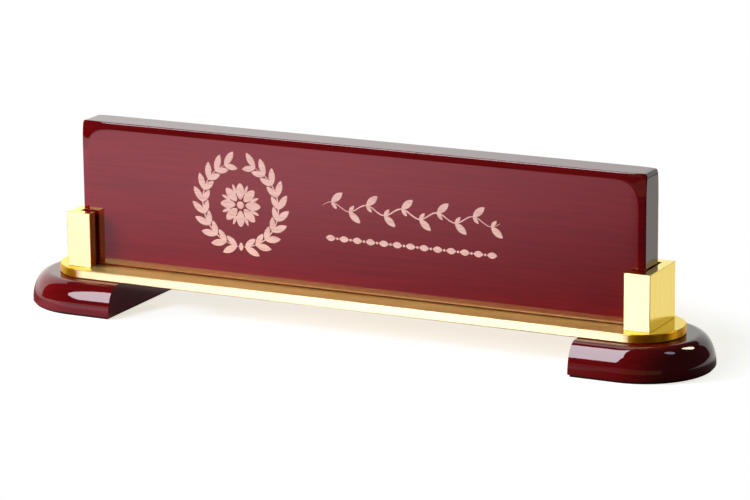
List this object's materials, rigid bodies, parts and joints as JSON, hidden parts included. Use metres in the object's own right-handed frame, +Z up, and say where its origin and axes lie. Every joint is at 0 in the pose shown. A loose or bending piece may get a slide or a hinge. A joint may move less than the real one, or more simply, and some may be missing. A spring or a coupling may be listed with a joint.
{
  "type": "desk name plate",
  "caption": "Desk name plate: a glossy dark red lacquered board lifts out of felt-lined slots in gold posts, on a gold rail with round ends that rests on lacquered half-round feet.",
  "frame": {"origin": "on the desk, under the middle of the board", "axes": "+X along the board to the right of someone facing its front, +Y towards its back, +Z up"},
  "size_m": [0.305, 0.058, 0.0786],
  "materials": {
    "lacquered_wood": "dark red stain under a thick high-gloss clear lacquer",
    "gold_metal": "gold anodised, finely brushed and polished",
    "black_felt": "matt black felt",
    "screw_steel": "zinc plated"
  },
  "bodies": {
    "stand": {"base_rail": "gold_metal", "left_post": "gold_metal", "right_post": "gold_metal", "left_front_felt_strip": "black_felt", "left_back_felt_strip": "black_felt", "right_front_felt_strip": "black_felt", "right_back_felt_strip": "black_felt", "left_foot": "lacquered_wood", "right_foot": "lacquered_wood", "left_felt_pad": "black_felt", "right_felt_pad": "black_felt", "left_post_screws": "screw_steel", "right_post_screws": "screw_steel", "left_foot_screw": "screw_steel", "right_foot_screw": "screw_steel"},
    "board": {"name_board": "lacquered_wood"}
  },
  "joints": [
    {"name": "board_lift", "type": "slide", "parent": "stand", "child": "board", "axis": [0, 0, 1], "range_m": [0, 0.03]}
  ]
}
